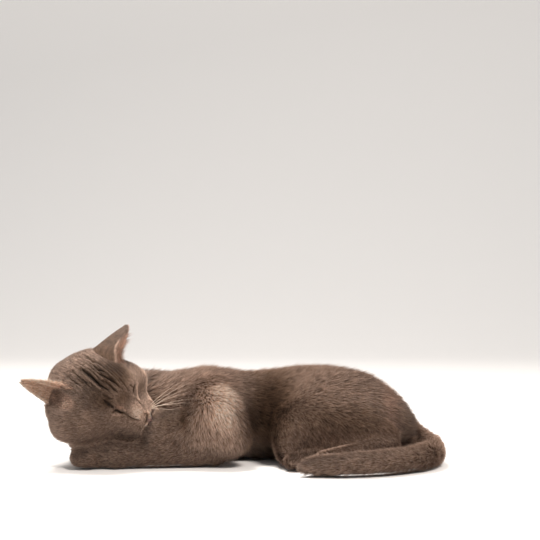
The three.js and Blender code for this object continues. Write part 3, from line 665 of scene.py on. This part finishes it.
# the coat's tree: scatters tufts over the skin and lays them along its lie
def coatTree():
    tree = bpy.data.node_groups.new("coat", "GeometryNodeTree")
    inputs = [
        ("Skin", "NodeSocketGeometry", None), ("Tuft", "NodeSocketObject", None),
        ("Density", "NodeSocketFloat", 1e6), ("Seed", "NodeSocketInt", 1),
        ("Length per depth", "NodeSocketFloat", 2.2), ("Width", "NodeSocketFloat", 0.001),
        ("Lift", "NodeSocketFloat", 0.45), ("Wander", "NodeSocketFloat", 0.25),
        ("Lock size", "NodeSocketFloat", 0.006), ("Lock pull", "NodeSocketFloat", 0.6),
        ("Coat", "NodeSocketMaterial", None),
    ]
    for name, kind, value in inputs:
        socket = tree.interface.new_socket(name, in_out="INPUT", socket_type=kind)
        if value is not None:
            socket.default_value = value
    tree.interface.new_socket("Coat mesh", in_out="OUTPUT", socket_type="NodeSocketGeometry")
    given = addNode(tree, "NodeGroupInput").outputs
    kinds = {"furShare": "FLOAT", "lie": "FLOAT_VECTOR", "coatDepth": "FLOAT", "OFBake": "FLOAT_VECTOR",
             "rootUv": "FLOAT_VECTOR", "patchPlace": "FLOAT_VECTOR"}
    stored = {name: addNode(tree, "GeometryNodeInputNamedAttribute", {"data_type": kind, "Name": name})
              for name, kind in kinds.items()}
    perArea = addNode(tree, "ShaderNodeMath", {"operation": "MULTIPLY"},
                      {0: given["Density"], 1: stored["furShare"]})
    scatter = addNode(tree, "GeometryNodeDistributePointsOnFaces", None, {
        "Mesh": given["Skin"], "Density": perArea, "Seed": given["Seed"],
    })
    kept = addNode(tree, "GeometryNodeStoreNamedAttribute",
                   {"data_type": "FLOAT_VECTOR", "domain": "POINT", "Name": "rootUv"},
                   {"Geometry": scatter, "Value": stored["OFBake"]})
    chance = addNode(tree, "FunctionNodeRandomValue", {"data_type": "FLOAT"}, {"Seed": given["Seed"]})
    place = addNode(tree, "GeometryNodeInputPosition")
    finerScale = addNode(tree, "ShaderNodeMath", {"operation": "DIVIDE", 0: 2.6}, {1: given["Lock size"]})
    streaks = addNode(tree, "ShaderNodeTexNoise", {"Detail": 1.0}, {"Vector": place, "Scale": finerScale})
    evened = addNode(tree, "ShaderNodeMapRange", {"From Min": 0.28, "From Max": 0.72}, {"Value": streaks})
    blended = addNode(tree, "ShaderNodeMix", {"data_type": "FLOAT", "Factor": 0.55},
                      {"A": chance.outputs[1], "B": evened})
    marked = addNode(tree, "GeometryNodeStoreNamedAttribute",
                     {"data_type": "FLOAT", "domain": "POINT", "Name": "tuft"},
                     {"Geometry": kept, "Value": blended.outputs[0]})
    # the direction of each tuft
    lockScale = addNode(tree, "ShaderNodeMath", {"operation": "DIVIDE", 0: 1.0}, {1: given["Lock size"]})
    locks = addNode(tree, "ShaderNodeTexNoise", {"Detail": 1.0}, {"Vector": place, "Scale": lockScale})
    lockShift = addNode(tree, "ShaderNodeVectorMath", {"operation": "SUBTRACT", 1: (0.5, 0.5, 0.5)},
                        {0: locks.outputs["Color"]})
    lockMove = addNode(tree, "ShaderNodeVectorMath", {"operation": "SCALE"},
                       {0: lockShift, "Scale": given["Lock pull"]})
    loose = addNode(tree, "FunctionNodeRandomValue",
                    {"data_type": "FLOAT_VECTOR", 0: (-1.0, -1.0, -1.0), 1: (1.0, 1.0, 1.0)},
                    {"Seed": given["Seed"]})
    looseMove = addNode(tree, "ShaderNodeVectorMath", {"operation": "SCALE"},
                        {0: loose.outputs[0], "Scale": given["Wander"]})
    raised = addNode(tree, "ShaderNodeVectorMath", {"operation": "SCALE"},
                     {0: scatter.outputs["Normal"], "Scale": given["Lift"]})
    one = addNode(tree, "ShaderNodeVectorMath", {"operation": "ADD"}, {0: stored["lie"], 1: raised})
    two = addNode(tree, "ShaderNodeVectorMath", {"operation": "ADD"}, {0: one, 1: lockMove})
    three = addNode(tree, "ShaderNodeVectorMath", {"operation": "ADD"}, {0: two, 1: looseMove})
    along = addNode(tree, "FunctionNodeAlignRotationToVector", {"axis": "Z"}, {"Vector": three})
    faced = addNode(tree, "FunctionNodeAlignRotationToVector", {"axis": "X", "pivot_axis": "Z"},
                    {"Rotation": along, "Vector": scatter.outputs["Normal"]})
    # its size
    vary = addNode(tree, "FunctionNodeRandomValue",
                   {"data_type": "FLOAT", "Min": 0.7, "Max": 1.15, "ID": 7}, {"Seed": given["Seed"]})
    longness = addNode(tree, "ShaderNodeMath", {"operation": "MULTIPLY"},
                       {0: stored["coatDepth"], 1: given["Length per depth"]})
    length = addNode(tree, "ShaderNodeMath", {"operation": "MULTIPLY"}, {0: longness, 1: vary.outputs[1]})
    size = addNode(tree, "ShaderNodeCombineXYZ", None,
                   {"X": given["Width"], "Y": given["Width"], "Z": length})
    oneTuft = addNode(tree, "GeometryNodeObjectInfo", None, {"Object": given["Tuft"]})
    placed = addNode(tree, "GeometryNodeInstanceOnPoints", None, {
        "Points": marked, "Rotation": faced, "Scale": size, "Instance": oneTuft.outputs["Geometry"],
    })
    real = addNode(tree, "GeometryNodeRealizeInstances", None, {"Geometry": placed})
    # each tuft's patch of the map, about 0.003 across at its root's place
    small = addNode(tree, "ShaderNodeVectorMath", {"operation": "SCALE", "Scale": 0.003},
                    {0: stored["patchPlace"]})
    mapped = addNode(tree, "ShaderNodeVectorMath", {"operation": "ADD"}, {0: stored["rootUv"], 1: small})
    unwrapped = addNode(tree, "GeometryNodeStoreNamedAttribute",
                        {"data_type": "FLOAT2", "domain": "CORNER", "Name": "OFBake"},
                        {"Geometry": real, "Value": mapped})
    coloured = addNode(tree, "GeometryNodeSetMaterial", None,
                       {"Geometry": unwrapped, "Material": given["Coat"]})
    addNode(tree, "NodeGroupOutput", None, {0: coloured})
    return tree


coatNodes = coatTree()


def socketId(tree, name):
    return next(item.identifier for item in tree.interface.items_tree
                if item.item_type == "SOCKET" and item.in_out == "INPUT" and item.name == name)


def growCoat(name, base, share, plan, tuft):
    carrier = newObject(name + "Base", base.copy())
    addValues(carrier.data, "furShare", share)
    grow = carrier.modifiers.new("coat", "NODES")
    grow.node_group = coatNodes
    for label, value in plan.items():
        grow[socketId(coatNodes, label)] = value
    grow[socketId(coatNodes, "Tuft")] = tuft
    carrier.update_tag()
    evaluated = carrier.evaluated_get(bpy.context.evaluated_depsgraph_get())
    mesh = bpy.data.meshes.new_from_object(evaluated)
    mesh.name = name
    hairPoints = pointsOf(mesh)
    hairPoints[:, 2] = hairPoints[:, 2].clip(0.0002, None)  # hair lies on the floor, not in it
    setPoints(mesh, hairPoints)
    for extra in ("lie", "coatDepth", "furShare", "rootUv", "patchPlace", "bare", "inner", "rim"):
        if extra in mesh.attributes:
            mesh.attributes.remove(mesh.attributes[extra])
    carrier.modifiers.clear()
    bpy.data.objects.remove(carrier)
    piece = newObject(name, mesh)
    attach(piece, "root")
    return piece


area = np.zeros(len(outerPoints))
for polygon in skinMesh.polygons:
    for v in polygon.vertices:
        area[v] += polygon.area / len(polygon.vertices)

onMuzzle = ramp(forward, -6, 4) * headShare  # the short coat of the face, with the longer one behind it
lengthPerDepth = 2.5  # a tuft lies flat, so it is longer than the coat is deep
coatPieces = {
    # pieces of the body, tufts, width and lock size in m, lift, wander, lock pull
    "coatFace": (headPieces, 57000, 0.00048, 0.0030, 0.24, 0.14, 0.35),
    "coatHead": (headPieces, 48000, 0.00066, 0.0035, 0.32, 0.18, 0.45),
    "coatNeck": (("neck",), 31000, 0.0013, 0.006, 0.4, 0.22, 0.6),
    "coatChest": (("chest",), 34000, 0.0013, 0.006, 0.4, 0.22, 0.6),
    "coatBelly": (("belly",), 31000, 0.0013, 0.006, 0.4, 0.26, 0.7),
    "coatHips": (("hips",), 44000, 0.0013, 0.006, 0.38, 0.22, 0.6),
    "coatForelegs": (("upper_foreleg_left", "forearm_left", "forepaw_left",
                      "forearm_right", "forepaw_right"), 42000, 0.0010, 0.005, 0.38, 0.22, 0.6),
    "coatHindLegs": (("thigh_left", "shank_left", "hind_foot_left", "shank_right", "hind_foot_right"),
                     41000, 0.0013, 0.006, 0.38, 0.22, 0.6),
    "coatTail": (("tail_1", "tail_2", "tail_3", "tail_4"), 26000, 0.0011, 0.006, 0.4, 0.22, 0.5),
}
coats = {}
for number, (name, settings) in enumerate(coatPieces.items()):
    owned, count, width, lockSize, lift, wander, pull = settings
    share = furShare * np.isin(pieceIndex, [pieceNames.index(n) for n in owned]) / coatDepth.clip(0.5, None)
    if name == "coatFace":
        share *= onMuzzle
    if name == "coatHead":
        share *= 1 - onMuzzle
    density = count / max(1e-9, (area * share).sum())
    coats[name] = growCoat(name, skinMesh, share, {
        "Density": density, "Seed": 11 + number, "Width": width, "Lock size": lockSize, "Coat": shortCoat,
        "Length per depth": lengthPerDepth, "Lift": lift, "Wander": wander, "Lock pull": pull,
    }, spike)
    report(f"{name}: {len(coats[name].data.polygons)} faces")

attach(skin, "root")
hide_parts(*pieceNames)


# Ears: thin leaves with a curled wall, open to the side. Sizes in m, tones as changes of their logarithm.
# Both
# ears have one coat: the left ear's lower tone is painted shade, and the right ear's higher inner tone is a
# painted glow of light through its thin inside.
earPlan = {
    "left": {
        "node": "ear_left", "base": headPoint(-8, 27, 22), "halfWidth": 0.0212, "depth": 0.0138,
        "open": headForward * 0.35 - headUp, "sink": 1.7, "back": 0.005, "long": 1.13,
        "lean": Vector((-0.0035, 0, 0)), "tone": -0.55, "paintedInnerGlow": 0.1, "pocket": 1.0,
    },
    "right": {
        "node": "ear_right", "base": headPoint(-16, -28, 15), "halfWidth": 0.0168, "depth": 0.0102,
        "open": Vector((-0.1, -1, -0.25)), "sink": 0.0, "back": 0.0, "long": 0.975,
        "lean": Vector((0, 0, 0)), "tone": 0.1, "paintedInnerGlow": 1.0, "pocket": 0.0,
    },
    "wall": 0.0018,
    "across": 36,
    "tall": 34,
    "rootShare": 0.42,
    "flare": 0.9,  # how much wider the root is, where it runs into the head
    "curl": (118, 84),  # half the angle that the leaf curls through, at its root and tip
    "edgeTurn": 0.56,  # where the front edge is turned over, from 0 at the back's middle to 1 at the rim
    "veinMm": 6.25,
    "hair": {
        "Density": 7.5e6, "Seed": 31, "Width": 0.00046, "Lock size": 0.003, "Coat": shortCoat,
        "Length per depth": 2.6, "Lift": 0.25, "Wander": 0.16, "Lock pull": 0.3,
    },
    "innerHair": {  # longer pale hairs, which stand out of the opening by its front edge
        "Density": 7e6, "Seed": 37, "Width": 0.0005, "Lock size": 0.004, "Coat": shortCoat,
        "Length per depth": 7.0, "Lift": 0.3, "Wander": 0.3, "Lock pull": 0.5,
    },
}


def earMesh(name, plan):
    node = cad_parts[plan["node"]].data
    base = plan["base"]
    far = max((v.co for v in node.vertices), key=lambda p: (p - base).length)
    axis = (far - base) * plan["long"] + plan["lean"]
    along = axis.normalized()
    front = (plan["open"] - along * plan["open"].dot(along)).normalized()
    side = along.cross(front)
    frontTurn = 1 if side.dot(headForward) > 0 else -1  # which edge is the front one
    across, tall, wall, root = earPlan["across"], earPlan["tall"], earPlan["wall"], earPlan["rootShare"]
    rootCurl, tipCurl = earPlan["curl"]
    points, notes = [], []
    for inside in (0, 1):
        for j in range(tall + 1):
            share = -root + (0.985 + root) * j / tall
            up = max(0.0, share)
            reach = math.radians(rootCurl + (tipCurl - rootCurl) * up ** 0.7)
            leaf = max(0.0, 1 - up) ** 0.7 * (0.87 + 0.3 * up)
            leaf *= 1 + earPlan["flare"] * max(0.0, 0.24 - share) ** 1.3
            sink = plan["sink"] * plan["depth"] * (max(0.0, 0.14 - share) / 0.56) ** 1.5
            for i in range(across + 1):
                turn = 2 * i / across - 1
                angle = reach * turn
                thick = wall * (1 - 0.5 * up) * (0.35 + 0.65 * math.cos(angle / 2) ** 2) * inside
                wide = max(0.0005, plan["halfWidth"] * leaf - thick)
                deep = max(0.0004, plan["depth"] * leaf * (1 - 0.55 * up) - thick)
                p = base + axis * (share - 0.02 * up * inside)
                p -= side * (frontTurn * plan["back"] * (1 - up) ** 2)
                p = p + front * (0.25 * plan["depth"] * up * up + sink) + side * (wide * math.sin(angle))
                points.append(p - front * (deep * math.cos(angle)))
                notes.append((inside, share, turn))

    def index(i, j, inside):
        return i + (across + 1) * (j + (tall + 1) * inside)

    def quad(*places):
        return tuple(index(i, j, inside) for i, j, inside in places)

    faces = []
    for j in range(tall):
        k = j + 1
        for i in range(across):
            n = i + 1
            faces.append(quad((i, j, 0), (n, j, 0), (n, k, 0), (i, k, 0)))
            faces.append(quad((i, j, 1), (i, k, 1), (n, k, 1), (n, j, 1)))
        faces.append(quad((0, j, 0), (0, k, 0), (0, k, 1), (0, j, 1)))
        faces.append(quad((across, j, 0), (across, j, 1), (across, k, 1), (across, k, 0)))
    for i in range(across):
        n = i + 1
        faces.append(quad((i, 0, 0), (i, 0, 1), (n, 0, 1), (n, 0, 0)))
        faces.append(quad((i, tall, 0), (n, tall, 0), (n, tall, 1), (i, tall, 1)))
    mesh = meshFrom(name, points, faces)
    bm = bmesh.new()
    bm.from_mesh(mesh)
    bmesh.ops.recalc_face_normals(bm, faces=bm.faces)
    bm.to_mesh(mesh)
    bm.free()
    return mesh, np.array(notes, float), along, front, side * frontTurn, frontTurn


# Gristle under thin skin, nearly bare inside. A little light comes through it, so it gives the eye a warm
# glow with faint veins, and a pale rim.
def earMaterial(name):
    material, tree = newMaterial(name)
    inner = addNode(tree, "ShaderNodeAttribute", {"attribute_name": "inner"})
    place = addNode(tree, "ShaderNodeTexCoord")
    veins = addNode(tree, "ShaderNodeTexNoise", {"Scale": perMetre(earPlan["veinMm"]), "Detail": 4.0},
                    {"Vector": place.outputs["Object"]})
    inside = addNode(tree, "ShaderNodeMix",
                     {"data_type": "RGBA", "A": linear("#7b5843"), "B": linear("#b98f6f")}, {"Factor": veins})
    both = addNode(tree, "ShaderNodeMix", {"data_type": "RGBA", "A": linear("#453429")},
                   {"Factor": inner.outputs["Fac"], "B": inside.outputs["Result"]})
    rim = addNode(tree, "ShaderNodeAttribute", {"attribute_name": "rim"})
    whole = addNode(tree, "ShaderNodeMix", {"data_type": "RGBA", "B": linear("#d9c4ae")},
                    {"Factor": rim.outputs["Fac"], "A": both.outputs["Result"]})
    shader = addNode(tree, "ShaderNodeBsdfPrincipled", {
        "Roughness": 0.6, "Subsurface Weight": 0.2, "Subsurface Radius": (0.004, 0.0016, 0.001),
        "Subsurface Scale": 1.0, "Specular IOR Level": 0.25,
    }, {"Base Color": whole.outputs["Result"]})
    addNode(tree, "ShaderNodeOutputMaterial", None, {"Surface": shader})
    return material


earSkin = earMaterial("thinEarSkin")
for side in ("left", "right"):
    plan = earPlan[side]
    mesh, notes, along, front, toFront, frontTurn = earMesh("earLeaf" + side.capitalize(), plan)
    mesh.materials.append(earSkin)
    inside, share, turn = notes.T  # 1 on the inner wall, 0 at the root to 1 at the tip, -1 to 1 across
    turn = turn * frontTurn
    rim = bell(1 - np.abs(turn), 0.10)
    count = len(inside)
    out = normalsOf(mesh)
    aside = 0.35 * turn * (1 - inside) + 0.7 * inside * np.clip(1.2 * turn, 0, 1)
    lieEar = np.tile(np.array(along), (count, 1)) + aside[:, None] * np.array(toFront)
    lieEar -= out * (lieEar * out).sum(1, keepdims=True) * (1 - 0.6 * rim[:, None])
    # the tone of each ear, lighter to the tip and at the rim; the left ear's plan tone here is painted shade
    earToneAndPaintedLight = np.log(0.8 + 0.7 * share.clip(0, 1)) + 0.6 * rim + plan["tone"]
    # painted glow of light through the inner wall, strongest on the right ear and towards the tip
    earToneAndPaintedLight += inside * plan["paintedInnerGlow"] * (0.45 + 0.55 * ramp(share, -0.1, 0.6))
    # the turned edge by the ear's front root: a pale line, with tan hair beyond it
    low = (1 - inside) * plan["pocket"]
    line = bell(turn - earPlan["edgeTurn"], 0.05) * low * (1 - ramp(share, 0.3, 0.55))
    beyond = ramp(turn, 0.58, 0.68) * low * (1 - ramp(share, 0.35, 0.7))
    earToneAndPaintedLight += 1.3 * line + 0.45 * beyond
    toTip = share.clip(0, 1) * (1 - inside)
    grey = np.array([0.95, 1.0, 1.09]) ** toTip[:, None]  # the back is greyer to the tip
    addValues(mesh, "inner", inside)
    addValues(mesh, "rim", rim)
    addValues(mesh, "tint", tintOf(earToneAndPaintedLight, 0.3 * inside + 0.35 * beyond) * grey)
    addValues(mesh, "lie", unit(lieEar))
    addValues(mesh, "coatDepth", (0.8 + 0.5 * rim + 0.5 * inside) / 1000)
    leaf = newObject("earLeaf" + side.capitalize(), mesh)
    unwrap(leaf)
    name = "coatEar" + side.capitalize()
    hairShare = ramp(share, -0.25, -0.1) * (1 - 0.72 * inside * (1 - rim))
    hairs = growCoat(name, mesh, hairShare, earPlan["hair"], spike)
    innerShare = inside * ramp(turn, 0.25, 0.7) * ramp(share, -0.2, 0.0) * (1 - ramp(share, 0.35, 0.75))
    innerHairs = growCoat(name + "Inner", mesh, innerShare, earPlan["innerHair"], spike)
    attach(leaf, "root")
    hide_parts(plan["node"])
    report(f"ear {side}: {len(hairs.data.polygons)} and {len(innerHairs.data.polygons)} faces of hair")


# nose leather: a bare pad with two nostrils, set into the end of the muzzle
def nosePad():
    radius, middle, stretch = nosePlan["radius"], nosePlan["middle"], nosePlan["stretch"]
    apart = nosePlan["nostrilApart"]
    bm = bmesh.new()
    bm.from_mesh(skinMesh)
    for layer in list(bm.loops.layers.uv):
        bm.loops.layers.uv.remove(layer)
    bm.verts.ensure_lookup_table()
    bmesh.ops.delete(bm, geom=[v for v in bm.verts if noseGap[v.index] > radius], context="VERTS")
    edges = list(bm.edges)
    bmesh.ops.subdivide_edges(bm, edges=edges, cuts=1, use_grid_fill=True)
    for v in bm.verts:
        ahead, aside, above = inHead(np.array([v.co]))[0] - np.array(middle)
        nostril = sum(math.exp(-(((aside - apart * s) / 0.85) ** 2) - (((above + 0.2) / 0.75) ** 2))
                      for s in (1, -1))
        groove = math.exp(-((aside / 0.35) ** 2)) * (1 if above < 0 else 0.4)
        gap = math.sqrt((ahead / stretch[0]) ** 2 + (aside / stretch[1]) ** 2 + above ** 2)
        rise = nosePlan["dome"] * (1 - (gap / radius) ** 2)
        v.co += v.normal * (rise - nosePlan["nostril"] * nostril - nosePlan["groove"] * groove) / 1000
    mesh = bpy.data.meshes.new("noseLeather")
    bm.to_mesh(mesh)
    bm.free()
    for extra in list(mesh.attributes):
        if extra.name in ("tint", "lie", "coatDepth", "bare"):
            mesh.attributes.remove(extra)
    mesh.materials.clear()
    pad = newObject("noseLeather", mesh)
    wall = pad.modifiers.new("wall", "SOLIDIFY")
    wall.thickness = nosePlan["wall"]
    wall.offset = -1
    mesh = bpy.data.meshes.new_from_object(pad.evaluated_get(bpy.context.evaluated_depsgraph_get()))
    pad.modifiers.clear()
    pad.data = mesh
    mesh.shade_smooth()
    return pad


# Hairless pebbled leather, kept moist. It gives the eye a dark pad with a soft gloss that its pebbles break.
def noseMaterial(name):
    material, tree = newMaterial(name)
    place = addNode(tree, "ShaderNodeTexCoord")
    pebbles = addNode(tree, "ShaderNodeTexVoronoi", {"Scale": perMetre(nosePlan["pebbleMm"])},
                      {"Vector": place.outputs["Object"]})
    colour = addNode(tree, "ShaderNodeMix",
                     {"data_type": "RGBA", "A": linear("#3f2d28"), "B": linear("#6b4c43")},
                     {"Factor": pebbles.outputs["Distance"]})
    relief = addNode(tree, "ShaderNodeBump", {"Strength": 0.4, "Distance": 0.0003},
                     {"Height": pebbles.outputs["Distance"]})
    shader = addNode(tree, "ShaderNodeBsdfPrincipled", {"Roughness": 0.55},
                     {"Base Color": colour.outputs["Result"], "Normal": relief})
    addNode(tree, "ShaderNodeOutputMaterial", None, {"Surface": shader})
    return material


nose = nosePad()
nose.data.materials.append(noseMaterial("moistNoseLeather"))
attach(nose, "root")

# Whiskers: stiff tapered hairs from the left pad of the muzzle.
whiskerPlan = {
    "radius": 0.00019,
    "rootDepth": 0.002,
    "tipRadius": 0.00003,
    "sides": 5,
    "rings": 12,
    # root in the head's frame, how far the hair reaches from it, and how far its middle bows up, all in mm
    "hairs": [
        ((50, 10, -11), (28, 38, 3), 3), ((49, 11, -12), (30, 34, 0), 3), ((50, 9, -12), (33, 30, -4), 3),
        ((48, 13, -13), (24, 40, 1), 4), ((49, 12, -14), (34, 26, -9), 3), ((50, 10, -14), (36, 20, -14), 2),
        ((47, 14, -12), (20, 36, 6), 3), ((49, 11, -15), (24, 22, -14), 5),
    ],
}


def whiskerMesh():
    points, faces, along = [], [], []
    sides, rings = whiskerPlan["sides"], whiskerPlan["rings"]
    for start, end, bow in whiskerPlan["hairs"]:
        a = outerTree.find_nearest(headPoint(*start))[0]
        b = a + headPoint(*end) - headAt
        a -= (b - a).normalized() * whiskerPlan["rootDepth"]
        rise = headUp * bow / 1000
        first = len(points)
        for r in range(rings + 1):
            t = r / rings
            middle = a.lerp(b, t) + rise * 4 * t * (1 - t)
            ahead = ((b - a) + rise * 4 * (1 - 2 * t)).normalized()
            one = ahead.orthogonal().normalized()
            two = ahead.cross(one)
            size = whiskerPlan["radius"] * (1 - t) ** 0.7 + whiskerPlan["tipRadius"]
            for k in range(sides):
                angle = 2 * math.pi * k / sides
                points.append(middle + (one * math.cos(angle) + two * math.sin(angle)) * size)
                along.append(t)
        for r in range(rings):
            for k in range(sides):
                low, high = first + r * sides, first + (r + 1) * sides
                faces.append((low + k, low + (k + 1) % sides, high + (k + 1) % sides, high + k))
        faces.append(tuple(first + k for k in reversed(range(sides))))
        faces.append(tuple(first + rings * sides + k for k in range(sides)))
    mesh = meshFrom("whiskers", points, faces)
    addValues(mesh, "along", np.array(along))
    return mesh


# Smooth horn, pale at the root and a little darker to the tip. It gives the eye thin bright lines with a soft
# shine.
def whiskerMaterial(name):
    material, tree = newMaterial(name)
    along = addNode(tree, "ShaderNodeAttribute", {"attribute_name": "along"})
    colour = addNode(tree, "ShaderNodeMix",
                     {"data_type": "RGBA", "A": linear("#dcc8b4"), "B": linear("#b89c86")},
                     {"Factor": along.outputs["Fac"]})
    shader = addNode(tree, "ShaderNodeBsdfPrincipled", {"Roughness": 0.4},
                     {"Base Color": colour.outputs["Result"]})
    addNode(tree, "ShaderNodeOutputMaterial", None, {"Surface": shader})
    return material


whiskers = newObject("whiskers", whiskerMesh())
whiskers.data.materials.append(whiskerMaterial("stiffWhiskerHair"))
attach(whiskers, "root")
report("nose and whiskers made")

# floor, light and camera, in m and watts
stagePlan = {
    "floor": "#f2f0ee", "half": 3.0, "bend": 1.2, "wallHeight": 3.0, "wide": 4.0, "skyStrength": 0.52,
}
lightPlan = {
    "keyLight": {"at": (0.7, -1.2, 1.5), "size": 0.45, "power": 34, "colour": "#fff7f0"},
    "topLight": {"at": (-0.3, 0.4, 1.6), "size": 0.6, "power": 35, "colour": "#fffaf5"},
}
lightAim = Vector((0, 0, 0.05))
cameraPlan = {"at": Vector((0.0372, -1.4931, 0.211)), "lens": 90.9}


# a sheet of matt studio paper, bent up behind: it gives the eye an even pale ground with no edge
def makeStage():
    half, bend, tall = stagePlan["half"], stagePlan["bend"], stagePlan["wallHeight"]
    profile = [(-half, 0.0), (half - bend, 0.0)]
    profile += [(half - bend + bend * math.sin(a), bend - bend * math.cos(a))
                for a in np.linspace(0, math.pi / 2, 13)[1:]]
    profile.append((half, tall))
    points = [(sx * stagePlan["wide"], py, pz) for py, pz in profile for sx in (-1, 1)]
    faces = [(2 * i, 2 * i + 1, 2 * i + 3, 2 * i + 2) for i in range(len(profile) - 1)]
    floor = newObject("floor", meshFrom("floor", points, faces))
    material, tree = newMaterial("paleStudioPaper")
    shader = addNode(tree, "ShaderNodeBsdfPrincipled",
                     {"Roughness": 0.9, "Base Color": linear(stagePlan["floor"])})
    addNode(tree, "ShaderNodeOutputMaterial", None, {"Surface": shader})
    floor.data.materials.append(material)


def addLight(name, plan):
    lamp = bpy.data.lights.new(name, "AREA")
    lamp.size = plan["size"]
    lamp.energy = plan["power"]
    lamp.color = linear(plan["colour"])[:3]
    holder = newObject(name, lamp)
    holder.location = plan["at"]
    holder.rotation_mode = "QUATERNION"
    holder.rotation_quaternion = (lightAim - Vector(plan["at"])).to_track_quat("-Z", "Y")


makeStage()
world = bpy.data.worlds.new("studio")
bpy.context.scene.world = world
world.use_nodes = True
world.node_tree.nodes["Background"].inputs["Color"].default_value = linear("#ffffff")
world.node_tree.nodes["Background"].inputs["Strength"].default_value = stagePlan["skyStrength"]
for name, plan in lightPlan.items():
    addLight(name, plan)

camera = bpy.data.cameras.new("camera")
camera.lens = cameraPlan["lens"]
camera.sensor_width = 36
camera.clip_end = 50
cameraHolder = newObject("camera", camera)
cameraHolder.location = cameraPlan["at"]
cameraHolder.rotation_euler = (math.radians(90), 0, 0)
bpy.context.scene.camera = cameraHolder
bpy.context.scene.view_settings.view_transform = "Standard"

bpy.data.objects.remove(spike)
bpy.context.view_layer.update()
report("done")
